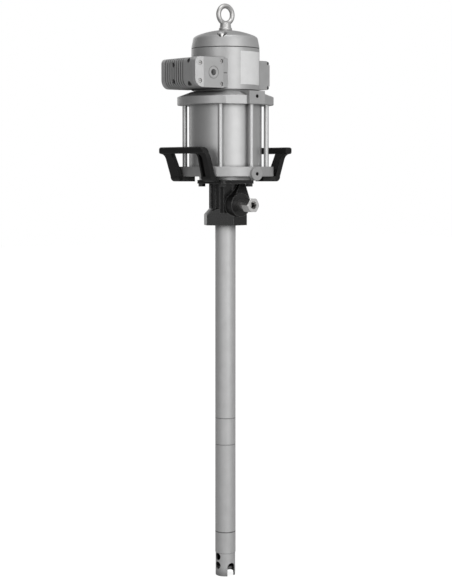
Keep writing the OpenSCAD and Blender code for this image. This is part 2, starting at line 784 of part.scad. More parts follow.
module lower_flange() {
    color("silver") difference() {
        union() {
            difference() {
                translate([0, 0, z_flange]) turned(flange_r, lower_flange_t, flange_edge);
                // Flats that the handles stand against
                for (side = [0, 1]) mirror([side, 0, 0])
                    translate([handle_seat_x, -flange_r, z_flange - over])
                        cube([flange_r, 2 * flange_r, lower_flange_t + 2 * over]);
            }
            translate([0, 0, body_h + seat]) cylinder(r = hub_r, h = hub_h + over);
            facing_front(0, port_face_y + port_boss_len, z_lower_port)
                cylinder(r = port_boss_r, h = port_boss_len);
        }
        // Seat and seal groove of the barrel, groove of the stop ring
        translate([0, 0, z_barrel - barrel_seat]) ring(barrel_or + fit, barrel_r - fit, barrel_seat + over);
        translate([0, 0, z_barrel - barrel_seat - barrel_seal_h])
            ring(barrel_seal_out, barrel_seal_in, barrel_seat + barrel_seal_h);
        translate([0, 0, z_barrel - bumper_sink]) ring(bumper_out + fit, bumper_in - fit, bumper_sink + over);
        polar(tie_angles, tie_circle_r) translate([0, 0, z_flange - over]) {
            cylinder(r = tie_r + air, h = lower_flange_t + 2 * over);
            cylinder(r = nut_pocket_r, h = nut_recess + over);
        }
        // Bore of the rod bush, with a lip at the top
        translate([0, 0, body_h - over]) cylinder(r = bush_r + fit, h = z_bush_top - body_h + over);
        translate([0, 0, body_h - over]) cylinder(r = rod_r + 1, h = z_barrel - body_h + 2 * over);
        polar(pilot_angles, pilot_circle_r) translate([0, 0, body_h - over]) {
            cylinder(r = pilot_r + run, h = z_barrel - body_h + 2 * over);
            cylinder(r = pilot_chamber_r, h = z_lower_chamber - body_h + over);
        }
        four_places(handle_screw_x, handle_screw_y) translate([0, 0, z_flange - over])
            cylinder(r = handle_screw_r + fit, h = handle_screw_in + over);
        four_places(body_bolt_place, body_bolt_place) translate([0, 0, body_h - over])
            cylinder(r = body_bolt_r + fit, h = body_bolt_len - plate_t + 2 * over);
        facing_front(0, port_face_y + port_depth, z_lower_port)
            cylinder(r = port_bore_r, h = port_depth + over);
    }
}

module tie_rods() {
    color("silver") polar(tie_angles, tie_circle_r)
        translate([0, 0, z_flange + over]) cylinder(r = tie_r, h = z_upper + tie_in - z_flange - over - air);
}

module tie_rod_nuts() {
    color("dimgray") polar(tie_angles, tie_circle_r)
        translate([0, 0, z_flange + nut_recess - nut_h - seat]) difference() {
            hexagon(nut_af, nut_h);
            translate([0, 0, -over]) cylinder(r = tie_r + fit, h = nut_h + 2 * over);
        }
}

piston_r = barrel_r - 0.6;
piston_thread_r = rod_r - 2.5;
piston_nut_af = 30;
piston_nut_h = 16;
piston_pocket_r = 20;
piston_pocket_h = 22;
piston_ring_h = 6;
piston_ring_in = piston_r - 6;
piston_ring_places = [8, piston_h - 14];

module air_piston() {
    color("gainsboro") translate([0, 0, z_piston]) difference() {
        turned(piston_r, piston_h, 1);
        translate([0, 0, -over]) cylinder(r = piston_thread_r + fit, h = piston_h + 2 * over);
        translate([0, 0, piston_h - piston_pocket_h])
            cylinder(r = piston_pocket_r, h = piston_pocket_h + over);
        for (z = piston_ring_places)
            translate([0, 0, z - fit]) ring(piston_r + over, piston_ring_in - fit, piston_ring_h + 2 * fit);
    }
}

module air_piston_seals() {
    color("black") for (z = piston_ring_places)
        translate([0, 0, z_piston + z]) ring(barrel_r - run, piston_ring_in, piston_ring_h);
}

module piston_nut() {
    color("dimgray") translate([0, 0, z_piston_top - piston_pocket_h + seat]) difference() {
        hexagon(piston_nut_af, piston_nut_h);
        translate([0, 0, -over]) cylinder(r = piston_thread_r + fit, h = piston_nut_h + 2 * over);
    }
}

module piston_rod() {
    color("silver") {
        translate([0, 0, z_rod_end]) turned(rod_r, z_piston - z_rod_end - seat, 1);
        translate([0, 0, z_piston - 2 * over]) cylinder(r = piston_thread_r, h = piston_h - over);
    }
}

module rod_bush() {
    color("peru") translate([0, 0, body_h + rod_seal_h])
        ring(bush_r, rod_r + run, z_bush_top - body_h - rod_seal_h - seat);
}

module rod_seal() {
    color("black") translate([0, 0, body_h + seat]) ring(bush_r, rod_r + run / 2, rod_seal_h - 2 * seat);
}

module upper_bumper() {
    color("black") translate([0, 0, z_upper - bumper_h])
        ring(bumper_out, bumper_in, bumper_h + bumper_sink - seat);
}

module lower_bumper() {
    color("black") translate([0, 0, z_barrel - bumper_sink + seat])
        ring(bumper_out, bumper_in, bumper_h + bumper_sink - seat);
}

// The pins are pushed out of the barrel by the piston at the ends of its stroke
module upper_pilot_pin() {
    color("silver") polar(pilot_angles, pilot_circle_r) {
        translate([0, 0, z_upper_tip]) turned(pilot_r, z_upper_chamber + over - z_upper_tip, 0.6);
        translate([0, 0, z_upper_chamber + seat]) cylinder(r = pilot_head_r, h = pilot_head_h);
    }
}

module upper_pilot_spring() {
    from = z_upper_chamber + seat + pilot_head_h + seat;
    color("silver") polar(pilot_angles, pilot_circle_r)
        translate([0, 0, from]) coil_spring(spring_mean_r, spring_wire_r, z_flange_top - seat - from, 5);
}

module lower_pilot_pin() {
    color("silver") polar(pilot_angles, pilot_circle_r) {
        translate([0, 0, z_lower_chamber - over]) turned(pilot_r, z_lower_tip - z_lower_chamber + over, 0.6);
        translate([0, 0, z_lower_chamber - pilot_head_h - seat]) cylinder(r = pilot_head_r, h = pilot_head_h);
    }
}

module lower_pilot_spring() {
    height = z_lower_chamber - pilot_head_h - 2 * seat - body_h - seat;
    color("silver") polar(pilot_angles, pilot_circle_r)
        translate([0, 0, body_h + seat]) coil_spring(spring_mean_r, spring_wire_r, height, 4);
}

// Handles

foot_t = 12;
z_grip_top = z_flange - foot_t + handle_rise;
z_grip = z_grip_top - grip_h;
arm_t = 13;
arm_x_foot = handle_seat_x + air + arm_t;
grip_corner_r = 4;
arm_set_in = 0.6;
arm_x_top = grip_x - grip_corner_r - arm_set_in;
arm_step = 0.4;
arm_tilt = atan((arm_x_top - arm_x_foot + arm_step) / (z_grip - z_flange));
arm_root = 5;
tip_y = bend_y - grip_len;
tip_top_r = 5;
tip_low_r = 3.5;
tip_blend_r = 13;
tip_drop = 0.5;
// Where the round of the tip and of the bend meet the top of the grip
tip_to_angle = 100;
bend_to_angle = 84;
// Places along Y of both arms at the grip and at the foot, outer side first
tip_arm_top = [-78.5, -53.5];
tip_arm_foot = [-77.5, -44.5];
bent_arm_top_w = 35;
bent_arm_foot_w = 37;
bent_arm_taper = 3;
bent_arm_top = [bend_y, bend_y - bent_arm_top_w];
bent_arm_foot = [bend_y - bent_arm_taper, bend_y - bent_arm_taper - bent_arm_foot_w];
window_r = 10;
groove_w = 13;
groove_d = 8;
groove_land = 5;
groove_end = 2;
groove_lean = 1;
foot_reach = 28;
foot_in_x = handle_seat_x - foot_reach;
foot_in = [33, 62];
handle_head_r = 6.5;
handle_head_h = 5;

// Outline of a handle seen along X, as [y, z], from the foot of the tip arm over the top
function handle_outline() = concat(
    [[tip_arm_foot[0], z_flange - foot_t], [tip_arm_foot[0], z_flange]],
    arc([tip_arm_top[0] - tip_blend_r, z_grip - tip_blend_r - tip_drop], tip_blend_r, 0, quarter, 6),
    arc([tip_y + tip_low_r, z_grip + tip_low_r - tip_drop], tip_low_r, -quarter, -180, 4),
    arc([tip_y + tip_top_r, z_grip_top - tip_top_r], tip_top_r, 180, tip_to_angle, 4),
    [[tip_y + tip_top_r, z_grip_top + over], [bend_y - bend_r, z_grip_top + over]],
    arc([bend_y - bend_r, z_grip_top - bend_r], bend_r, bend_to_angle, 0, 12),
    [[bent_arm_foot[0], z_flange], [bent_arm_foot[0], z_flange - foot_t]]
);

// The opening between both arms, grip and feet
function handle_window() = concat(
    [[tip_arm_foot[1], z_flange - foot_t], [tip_arm_foot[1], z_flange], [tip_arm_top[1], z_grip + over]],
    arc([bent_arm_top[1] - window_r, z_grip + over - window_r], window_r, quarter, 0, 6),
    [[bent_arm_foot[1], z_flange], [bent_arm_foot[1], z_flange - foot_t]]
);

// Groove down the outer face of the bent arm, with a round top
function handle_groove() = concat(
    [[bent_arm_foot[1] + groove_land, z_flange - foot_t],
     [bent_arm_top[1] + groove_land, z_grip - groove_end]],
    arc([bent_arm_top[1] + groove_land + groove_lean, z_grip - groove_w - groove_lean],
        groove_w - groove_lean, quarter, 0, 6),
    [[bent_arm_foot[1] + groove_land + groove_w, z_flange],
     [bent_arm_foot[1] + groove_land + groove_w, z_flange - foot_t]]
);

// An outline [y, z] laid in the sloping plane of the arms and thickened inwards from a given depth
module sloping(points, from, thick) {
    lean = cos(arm_tilt);
    translate([arm_x_top, 0, z_grip]) rotate([0, arm_tilt, 0]) rotate([quarter, 0, quarter])
        translate([0, 0, -from - thick]) linear_extrude(thick)
            polygon([for (p = points) [p[0], (p[1] - z_grip) / lean]]);
}

module along_x(x_from, x_to, points) {
    translate([x_from, 0, 0]) rotate([quarter, 0, quarter]) linear_extrude(x_to - x_from) polygon(points);
}

module grip_section() {
    for (x = [grip_corner_r, grip_w - grip_corner_r], y = [grip_corner_r, grip_h - grip_corner_r])
        translate([x, y]) circle(r = grip_corner_r);
    translate([grip_corner_r, 0]) square([grip_w - 2 * grip_corner_r, grip_h]);
    translate([0, grip_corner_r]) square([grip_w, grip_h - 2 * grip_corner_r]);
}

// Plan of a foot, turned in towards the tube axis
module foot_plan(outer, inner) {
    turn = sign(inner);
    polygon([[arm_x_foot + over, outer], [arm_x_foot + over, inner], [arm_x_foot - arm_t, inner],
             [foot_in_x, turn * foot_in[0]], [foot_in_x, turn * foot_in[1]], [arm_x_foot - arm_t, outer]]);
}

module handle_feet() {
    intersection() {
        translate([0, 0, z_flange - foot_t]) linear_extrude(foot_t - seat) {
            foot_plan(tip_arm_foot[0], tip_arm_foot[1]);
            foot_plan(bent_arm_foot[0], bent_arm_foot[1]);
        }
        // Round lower edge along the outer side
        translate([0, grip_len, 0]) rotate([quarter, 0, 0]) linear_extrude(2 * grip_len)
            polygon(concat([[0, z_flange], [0, z_flange - foot_t - over],
                            [arm_x_foot - foot_t, z_flange - foot_t - over]],
                           arc([arm_x_foot - foot_t, z_flange], foot_t, -bend_to_angle, 0, 8)));
    }
}

// Both arms as one sloping panel with the window and the groove cut out of it
module handle_arms() {
    thick = (arm_t - arm_step) * cos(arm_tilt);
    low = z_flange - 2 * foot_t;
    high = z_grip_top + over;
    intersection() {
        difference() {
            sloping([[tip_y - over, low], [bend_y + over, low], [bend_y + over, high], [tip_y - over, high]],
                    0, thick);
            sloping(handle_window(), -over, thick + 2 * over);
            sloping(handle_groove(), -over, groove_d + over);
        }
        translate([0, -grip_len, z_flange - arm_root])
            cube([grip_x, 2 * grip_len, z_grip + grip_corner_r - z_flange + arm_root]);
    }
}

// Right handle, with its tip towards -Y and its bent end towards +Y
module handle() {
    difference() {
        union() {
            intersection() {
                union() {
                    translate([grip_x - grip_w, bend_y + over, z_grip]) rotate([quarter, 0, 0])
                        linear_extrude(grip_len + 2 * over) grip_section();
                    handle_arms();
                }
                along_x(0, grip_x + over, handle_outline());
            }
            handle_feet();
        }
        for (side = [-1, 1]) translate([handle_screw_x, side * handle_screw_y, z_flange - foot_t - over]) {
            cylinder(r = handle_screw_r + air, h = foot_t + 2 * over);
            cylinder(r = handle_head_r + air, h = handle_head_h + 2 * over);
        }
    }
}

module right_handle() {
    color("dimgray") handle();
}

module left_handle() {
    color("dimgray") rotate([0, 0, 180]) handle();
}

module handle_screws() {
    color("black") four_places(handle_screw_x, handle_screw_y)
        translate([0, 0, z_flange - foot_t + handle_head_h + over - seat]) rotate([180, 0, 0])
            cap_screw(handle_screw_r, handle_head_r, handle_head_h,
                      foot_t - handle_head_h + handle_screw_in - 2 * over);
}

// Outlet body

base_corners = [[54.3, 175.8], [49, 256.2], [53.3, 311.1]];
cone_top_z = 43.7;
cone_spread = 38.9;
front_half = 33;
front_y = 36;
front_z = 30;
plate_corner_r = 14;
socket_h = 24;
recess_r = 32;
recess_h = tube_sink + 2;
gland_wall = 3;
outlet_thread_r = 12;
outlet_thread_h = 20;
passage_r = 8;
body_rib_angles = [142, 166, 190, 214];
body_rib_w = 5;
body_rib_d = 3;
// Web between the boss and the top plate, seen along Y, as [x, z]
web_outline = [[-24, 62], [12, body_h - plate_t + over], [27, body_h - plate_t + over],
               [outlet_boss_r, outlet_z]];
web_top_y = 44;

// Corners of the six-sided base, each repeated on the opposite side
function base_points() = [for (turn = [0, 180], c = base_corners)
    [c[0] * cos(c[1] + turn), c[0] * sin(c[1] + turn)]];

module outlet_body() {
    color("dimgray") difference() {
        union() {
            // Base whose upper edges are turned down to a cone
            intersection() {
                linear_extrude(cone_top_z) polygon(base_points());
                rotate_extrude()
                    polygon([[0, 0], [column_r + cone_spread, 0], [column_r, cone_top_z], [0, cone_top_z]]);
            }
            cylinder(r = column_r, h = body_h - plate_t + over);
            translate([-front_half, -front_y, front_z])
                cube([2 * front_half, front_y, body_h - plate_t - front_z + over]);
            facing_front(0, 0, outlet_z) turned(outlet_boss_r, outlet_boss_y, 0.8);
            for (a = body_rib_angles) rotate([0, 0, a])
                translate([column_r - 2, -body_rib_w / 2, cone_top_z - 4])
                    cube([2 + body_rib_d, body_rib_w, body_h - plate_t - cone_top_z + 5]);
            // Web with a diagonal flank and a sloping front
            intersection() {
                rotate([quarter, 0, 0]) linear_extrude(outlet_boss_y - over) polygon(web_outline);
                along_x(-column_r, column_r,
                        [[0, 0], [0, body_h - over], [-web_top_y, body_h - over],
                         [-web_top_y, body_h - plate_t], [over - outlet_boss_y, outlet_z + 14],
                         [over - outlet_boss_y, 0]]);
            }
            translate([0, 0, body_h - plate_t]) rounded_block(plate_w, plate_w, plate_t, plate_corner_r);
        }
        // Recess round the tube, then the stepped bore: tube socket, chamber, packing housing, gland seat
        translate([0, 0, -over]) cylinder(r = recess_r, h = recess_h + over);
        translate([0, 0, -over]) cylinder(r = spigot_r + fit, h = socket_h + over);
        translate([0, 0, -over]) cylinder(r = riser_r, h = z_packing + 2 * over);
        translate([0, 0, z_packing]) cylinder(r = packing_r + fit, h = packing_h + over);
        translate([0, 0, z_packing + packing_h])
            cylinder(r = packing_r + gland_wall + fit, h = body_h - z_packing - packing_h + over);
        facing_front(0, 0, outlet_z) cylinder(r = passage_r, h = outlet_boss_y + over);
        facing_front(0, -outlet_boss_y + outlet_thread_h, outlet_z)
            cylinder(r = outlet_thread_r + fit, h = outlet_thread_h + over);
        four_places(body_bolt_place, body_bolt_place) translate([0, 0, body_h - plate_t - over])
            cylinder(r = body_bolt_r + air, h = plate_t + 2 * over);
    }
}

module body_bolts() {
    bolt_head_h = 7;
    bolt_af = 16;
    color("dimgray") four_places(body_bolt_place, body_bolt_place)
        translate([0, 0, body_h - plate_t - seat]) {
            translate([0, 0, -bolt_head_h]) hexagon(bolt_af, bolt_head_h);
            cylinder(r = body_bolt_r, h = body_bolt_len);
        }
}

module rod_packing() {
    rings = 3;
    pitch = packing_h / rings;
    color("goldenrod") for (i = [0 : rings - 1])
        translate([0, 0, z_packing + i * pitch + seat]) ring(packing_r, rod_r + run / 2, pitch - 2 * seat);
}

module packing_gland() {
    color("silver") translate([0, 0, z_packing + packing_h + seat])
        ring(packing_r + gland_wall, rod_r + air, body_h - z_packing - packing_h - 2 * seat);
}

fitting_neck_r = 13;
fitting_neck_h = 23;
fitting_hex_h = 25;
outlet_tap_h = 22;
outlet_end_y = outlet_boss_y + fitting_neck_h + fitting_hex_h;

module outlet_fitting() {
    color("silver") difference() {
        union() {
            facing_front(0, -outlet_boss_y + outlet_thread_h - air, outlet_z)
                cylinder(r = outlet_thread_r, h = outlet_thread_h + over);
            facing_front(0, -outlet_boss_y - seat, outlet_z)
                cylinder(r = fitting_neck_r, h = fitting_neck_h + over);
            // Hexagon with turned corners
            facing_front(0, -outlet_boss_y - fitting_neck_h, outlet_z) intersection() {
                hexagon(fitting_af, fitting_hex_h);
                turned(fitting_af / 2 / cos(30) - 0.4, fitting_hex_h, 1.6);
            }
        }
        facing_front(0, 0, outlet_z) cylinder(r = passage_r - over, h = outlet_end_y + over);
        facing_front(0, -outlet_end_y + outlet_tap_h, outlet_z)
            cylinder(r = outlet_bore_r, h = outlet_tap_h + over);
    }
}

// Suction tube

tube_edge = 0.6;
cylinder_spigot = 14;
foot_spigot = 16;

module riser_tube() {
    color("silver") difference() {
        union() {
            translate([0, 0, z_coupling_top + seat])
                turned(tube_r, tube_sink - z_coupling_top - 2 * seat, tube_edge);
            translate([0, 0, z_coupling_top - spigot_len])
                cylinder(r = spigot_r, h = -z_coupling_top + spigot_len + socket_h - air);
        }
        translate([0, 0, z_coupling_top - spigot_len - over])
            cylinder(r = riser_r, h = -z_coupling_top + spigot_len + socket_h + 2 * over);
    }
}

module tube_coupling() {
    color("silver") translate([0, 0, z_cyl_top + seat]) difference() {
        turned(tube_r, coupling_len - 2 * seat, tube_edge);
        translate([0, 0, -over]) cylinder(r = spigot_r + fit, h = coupling_len + 2 * over);
    }
}

module pump_cylinder() {
    color("silver") difference() {
        union() {
            translate([0, 0, z_seat + seat]) turned(tube_r, cylinder_len - 2 * seat, tube_edge);
            translate([0, 0, z_cyl_top - over]) cylinder(r = spigot_r, h = spigot_len + over);
        }
        translate([0, 0, z_seat - over]) cylinder(r = cyl_r, h = cylinder_len + spigot_len + 2 * over);
        translate([0, 0, z_seat - over]) cylinder(r = spigot_r + fit, h = cylinder_spigot + over + air);
    }
}

seat_bore_r = 11;
foot_bore_r = cyl_r + 1;

module foot_valve_body() {
    color("silver") difference() {
        union() {
            translate([0, 0, z_foot_top + seat]) turned(tube_r, foot_valve_len - 2 * seat, tube_edge);
            translate([0, 0, z_seat - over]) cylinder(r = spigot_r, h = cylinder_spigot + over);
        }
        translate([0, 0, z_seat]) cylinder(r = cyl_r, h = cylinder_spigot + over);
        translate([0, 0, z_foot_top - over]) cylinder(r = seat_bore_r, h = foot_valve_len + 2 * over);
        translate([0, 0, z_foot_top - over])
            cylinder(r = foot_bore_r, h = foot_valve_len - foot_seat_t + over);
        translate([0, 0, z_foot_top - over]) cylinder(r = spigot_r + fit, h = foot_spigot + over + air);
    }
}

foot_hole_places = [25.6, 47];
notch_w = 36;
notch_h = 7.5;

module inlet_foot() {
    color("silver") difference() {
        union() {
            translate([0, 0, z_foot]) turned(foot_r, foot_len - seat, tube_edge);
            translate([0, 0, z_foot_top - over]) cylinder(r = spigot_r, h = foot_spigot + over);
        }
        translate([0, 0, z_foot - over]) cylinder(r = foot_bore_r, h = foot_len + foot_spigot + 2 * over);
        // Two round holes, one above the other
        for (z = foot_hole_places) facing_left(0, 0, z_foot + z) cylinder(r = foot_hole_d / 2, h = tube_od);
        // Arched slot, open at the lower edge
        facing_front(0, 0, z_foot + foot_slot_h - foot_slot_w / 2) cylinder(r = foot_slot_w / 2, h = tube_od);
        translate([-foot_slot_w / 2, -tube_od, z_foot - over])
            cube([foot_slot_w, tube_od, foot_slot_h - foot_slot_w / 2 + over]);
        // Shallow notches in the lower edge on the other two sides
        translate([0, -notch_w / 2, z_foot - over]) cube([tube_od, notch_w, notch_h + over]);
        translate([-notch_w / 2, 0, z_foot - over]) cube([notch_w, tube_od, notch_h + over]);
    }
}

// Rods and valves of the pump

module rod_coupling() {
    color("silver") translate([0, 0, z_rod_end - rod_coupling_h / 2]) difference() {
        turned(rod_coupling_r, rod_coupling_h, 1.5);
        translate([0, 0, rod_coupling_h / 2 - seat]) cylinder(r = rod_r + fit, h = rod_coupling_h);
        translate([0, 0, -over]) cylinder(r = pump_rod_r + fit, h = rod_coupling_h);
    }
}

rod_socket_h = 14;

module pump_rod() {
    from = z_pump_piston_top - rod_socket_h + seat;
    color("silver") translate([0, 0, from]) turned(pump_rod_r, z_rod_end - seat - from, 1);
}

pump_piston_r = cyl_r - 0.3;
piston_neck_r = 14;
skirt_h = 36;
inlet_plate_h = 8;
plenum_r = 14.5;
plenum_h = 6;
ball_seat_z = 18;
ball_room_r = 11.5;
ball_room_over = 4;
ball_room_top = ball_seat_z + 2 * ball_r + ball_lift + ball_room_over;
inlet_port_r = 2.6;
inlet_port_circle_r = 10.5;
exit_port_r = 3;
exit_port_z = 40;
pump_ring_places = [19, 27];
pump_ring_h = 5;
pump_ring_in = 15.5;
ball_rise = sqrt(ball_r * ball_r - ball_seat_r * ball_seat_r);

module pump_piston() {
    color("silver") translate([0, 0, z_pump_piston]) difference() {
        rotate_extrude() polygon([
            [0, 0], [pump_piston_r - 1, 0], [pump_piston_r, 1], [pump_piston_r, skirt_h - 1],
            [pump_piston_r - 1, skirt_h], [piston_neck_r, skirt_h],
            [piston_neck_r, pump_piston_h], [0, pump_piston_h]]);
        translate([0, 0, -over]) cylinder(r = priming_rod_r + fit, h = inlet_plate_h - 2 + over);
        polar([0 : 60 : 300], inlet_port_circle_r)
            translate([0, 0, -over]) cylinder(r = inlet_port_r, h = inlet_plate_h + 2 * over);
        translate([0, 0, inlet_plate_h]) cylinder(r = plenum_r, h = plenum_h);
        translate([0, 0, inlet_plate_h + 2]) cylinder(r = ball_seat_r, h = ball_seat_z - inlet_plate_h);
        translate([0, 0, ball_seat_z]) cylinder(r = ball_room_r, h = ball_room_top - ball_seat_z);
        for (a = [45 : 90 : 315]) rotate([0, 0, a])
            facing_right(0, 0, exit_port_z) cylinder(r = exit_port_r, h = tube_r);
        translate([0, 0, pump_piston_h - rod_socket_h])
            cylinder(r = pump_rod_r + fit, h = rod_socket_h + over);
        for (z = pump_ring_places)
            translate([0, 0, z - fit]) ring(pump_piston_r + over, pump_ring_in - fit, pump_ring_h + 2 * fit);
    }
}

module pump_piston_seals() {
    color("ivory") for (z = pump_ring_places)
        translate([0, 0, z_pump_piston + z]) ring(cyl_r - run, pump_ring_in, pump_ring_h);
}

module piston_ball() {
    color("silver") translate([0, 0, z_pump_piston + ball_seat_z + ball_rise + seat]) sphere(r = ball_r);
}

module priming_rod() {
    color("silver") translate([0, 0, z_plate])
        turned(priming_rod_r, z_pump_piston + inlet_plate_h - 2 - seat - z_plate, 0.6);
}

module priming_plate() {
    color("gray") translate([0, 0, z_plate]) difference() {
        turned(foot_bore_r - 1.4, plate_h, 1.5);
        translate([0, 0, -over]) cylinder(r = priming_rod_r + fit, h = plate_h + 2 * over);
    }
}

module plate_nut() {
    plate_nut_af = 16;
    plate_nut_h = 6;
    color("dimgray") translate([0, 0, z_plate + plate_h + seat]) difference() {
        hexagon(plate_nut_af, plate_nut_h);
        translate([0, 0, -over]) cylinder(r = priming_rod_r + fit, h = plate_nut_h + 2 * over);
    }
}

// Annular disc on the foot seat, guided in the seat bore by its nose
module foot_check() {
    check_r = 16;
    nose_r = 10;
    nose_h = 6;
    color("gray") difference() {
        union() {
            translate([0, 0, z_seat + seat]) turned(check_r, check_h, 1);
            translate([0, 0, z_seat - nose_h]) cylinder(r = nose_r, h = nose_h + over);
        }
        translate([0, 0, z_seat - nose_h - over])
            cylinder(r = priming_rod_r + run, h = nose_h + check_h + 2 * over);
    }
}

lifting_eye();
top_cap();
cap_screws();
cap_gasket();
head_casting();
head_screws();
valve_body();
valve_gasket();
valve_sleeve();
valve_spool();
spool_seals();
front_valve_cover();
rear_valve_cover();
valve_cover_screws();
valve_mount_screws();
exhaust_box();
silencer_element();
exhaust_screws();
upper_flange();
barrel();
barrel_seals();
lower_flange();
tie_rods();
tie_rod_nuts();
air_piston();
air_piston_seals();
piston_nut();
piston_rod();
rod_bush();
rod_seal();
upper_bumper();
lower_bumper();
upper_pilot_pin();
upper_pilot_spring();
lower_pilot_pin();
lower_pilot_spring();
left_handle();
right_handle();
handle_screws();
outlet_body();
body_bolts();
rod_packing();
packing_gland();
outlet_fitting();
riser_tube();
tube_coupling();
pump_cylinder();
foot_valve_body();
inlet_foot();
rod_coupling();
pump_rod();
pump_piston();
pump_piston_seals();
piston_ball();
priming_rod();
priming_plate();
plate_nut();
foot_check();
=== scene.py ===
import math

import bmesh
import bpy
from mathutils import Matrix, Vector


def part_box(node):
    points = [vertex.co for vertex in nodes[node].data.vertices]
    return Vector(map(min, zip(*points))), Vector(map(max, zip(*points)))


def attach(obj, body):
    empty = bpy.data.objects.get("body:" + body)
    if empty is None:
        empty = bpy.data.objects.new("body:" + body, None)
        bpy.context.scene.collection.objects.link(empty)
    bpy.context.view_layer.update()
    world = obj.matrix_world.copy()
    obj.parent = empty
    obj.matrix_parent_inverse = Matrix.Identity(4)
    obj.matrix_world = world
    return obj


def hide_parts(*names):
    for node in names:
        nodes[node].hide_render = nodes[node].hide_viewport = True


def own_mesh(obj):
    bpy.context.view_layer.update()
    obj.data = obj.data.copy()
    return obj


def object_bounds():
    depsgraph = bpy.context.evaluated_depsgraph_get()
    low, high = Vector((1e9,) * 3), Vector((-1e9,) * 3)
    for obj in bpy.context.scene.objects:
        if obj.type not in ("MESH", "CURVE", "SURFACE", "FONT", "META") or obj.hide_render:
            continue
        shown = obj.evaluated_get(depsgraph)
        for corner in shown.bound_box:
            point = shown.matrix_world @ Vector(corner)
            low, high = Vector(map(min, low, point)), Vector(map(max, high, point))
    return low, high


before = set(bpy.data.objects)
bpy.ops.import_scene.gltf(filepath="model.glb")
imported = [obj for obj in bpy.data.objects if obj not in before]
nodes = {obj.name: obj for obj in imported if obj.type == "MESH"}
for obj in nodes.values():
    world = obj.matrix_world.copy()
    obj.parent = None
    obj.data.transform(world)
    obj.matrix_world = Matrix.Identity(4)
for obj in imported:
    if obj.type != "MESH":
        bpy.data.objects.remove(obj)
cad_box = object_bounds()
scene = bpy.context.scene

MM = 0.001

# The photograph's camera: the level direction it looks in, its distance and height in metres, its turn and
# tilt in degrees, and its focal length and picture shift in pixels of the photograph
VIEW_DIR = Vector((0.616, 0.788, 0.0)).normalized()
VIEW_RIGHT = Vector((VIEW_DIR.y, -VIEW_DIR.x, 0.0))
CAMERA_DISTANCE = 3.69
CAMERA_HEIGHT = 0.1335
CAMERA_TURN = 38
CAMERA_TILT = 1.883
FOCAL_PX = 1510.5
SHIFT_RIGHT_PX = 1.0
SHIFT_UP_PX = -72.0
PHOTO_HEIGHT_PX = 584.0
SENSOR_MM = 36.0


# Node helpers

def grey(v, warm=0.0):
    return (v * (1 + warm), v, v * (1 - warm))


class Graph:
    """A short way to write shader nodes."""

    def __init__(self, tree):
        self.tree = tree

    def fill(self, socket, value):
        """A plain value on a socket, or a link to it from another node's output."""
        if isinstance(value, bpy.types.NodeSocket):
            self.tree.links.new(value, socket)
        else:
            socket.default_value = value

    def add(self, kind, inputs=None, **settings):
        """A node with its settings, and a value or link for each of the given inputs."""
        node = self.tree.nodes.new(kind)
        for key, setting in settings.items():
            setattr(node, key, setting)
        for key, value in (inputs or {}).items():
            self.fill(node.inputs[key], value)
        return node

    def math(self, operation, *values, clamp=False):
        node = self.add("ShaderNodeMath", dict(enumerate(values)), operation=operation, use_clamp=clamp)
        return node.outputs[0]

    def dot(self, a, b):
        return self.add("ShaderNodeVectorMath", {0: a, 1: b}, operation="DOT_PRODUCT").outputs["Value"]

    def mix(self, factor, a, b, blend="MIX"):
        """Colour a, and as much of colour b as the factor says."""
        node = self.add("ShaderNodeMix", {0: factor, 6: a, 7: b}, data_type="RGBA", blend_type=blend)
        return node.outputs[2]

    def multiplied(self, a, b):
        return self.mix(1.0, a, b, "MULTIPLY")

    def noise(self, vector, scale, detail):
        inputs = {"Vector": vector, "Scale": scale, "Detail": detail, "Roughness": 0.55}
        return self.add("ShaderNodeTexNoise", inputs).outputs["Fac"]

    def stretched(self, scale):
        """Object coordinates, which are the shared frame in metres, stretched by scale."""
        coord = self.add("ShaderNodeTexCoord")
        mapping = self.add("ShaderNodeMapping", {"Vector": coord.outputs["Object"], "Scale": scale})
        return mapping.outputs["Vector"]

    def ramp(self, factor, stops):
        """A colour for the factor, from (place, colour) stops."""
        node = self.add("ShaderNodeValToRGB", {"Fac": factor})
        elements = node.color_ramp.elements
        while len(elements) < len(stops):
            elements.new(0.5)
        for element, (place, color) in zip(elements, stops):
            element.position = place
            element.color = (*color, 1.0)
        return node.outputs["Color"]

    def rounded_normal(self, radius):
        """The normal that the surface has when its edges are rounded by the radius."""
        return self.add("ShaderNodeBevel", {"Radius": radius}, samples=4).outputs["Normal"]


# Materials

# Stretch of the grain on cast, on turned and on drawn surfaces
EVEN = (1.0, 1.0, 1.0)
RINGS = (1.0, 1.0, 60.0)
UPRIGHT = (40.0, 40.0, 1.0)
# Noise scales, per metre, of the mottled colour and of the wear and painted highlights on edges
MOTTLE_SCALE = 40
EDGE_WEAR_AND_HIGHLIGHT_SCALE = 320
# How fast wear and painted highlights come in where the rounded normal leaves the true one
EDGE_WEAR_AND_HIGHLIGHT_GAIN = 6.0
# Bare metal on worn edges, also used as painted highlights along edges: their lightness over the base colour,
# and their lightest value
BARE_AND_HIGHLIGHT_GAIN = 2.2
BARE_AND_HIGHLIGHT_LIMIT = 0.9
# Depth of the grain, in metres
GRAIN_DEPTH = 0.0004
COAT_ROUGHNESS = 0.25
# Half height of the dark line at a joint of the tube, in metres
SEAM_HALF = 0.0016


def mottled(g, base, spread):
    """The base colour, a little darker and lighter in soft patches."""
    patches = g.noise(g.stretched(EVEN), MOTTLE_SCALE, 4.0)
    dark = tuple(c * (1 - spread) for c in base)
    light = tuple(min(c * (1 + spread), 1) for c in base)
    return g.ramp(patches, [(0.3, dark), (0.7, light)])


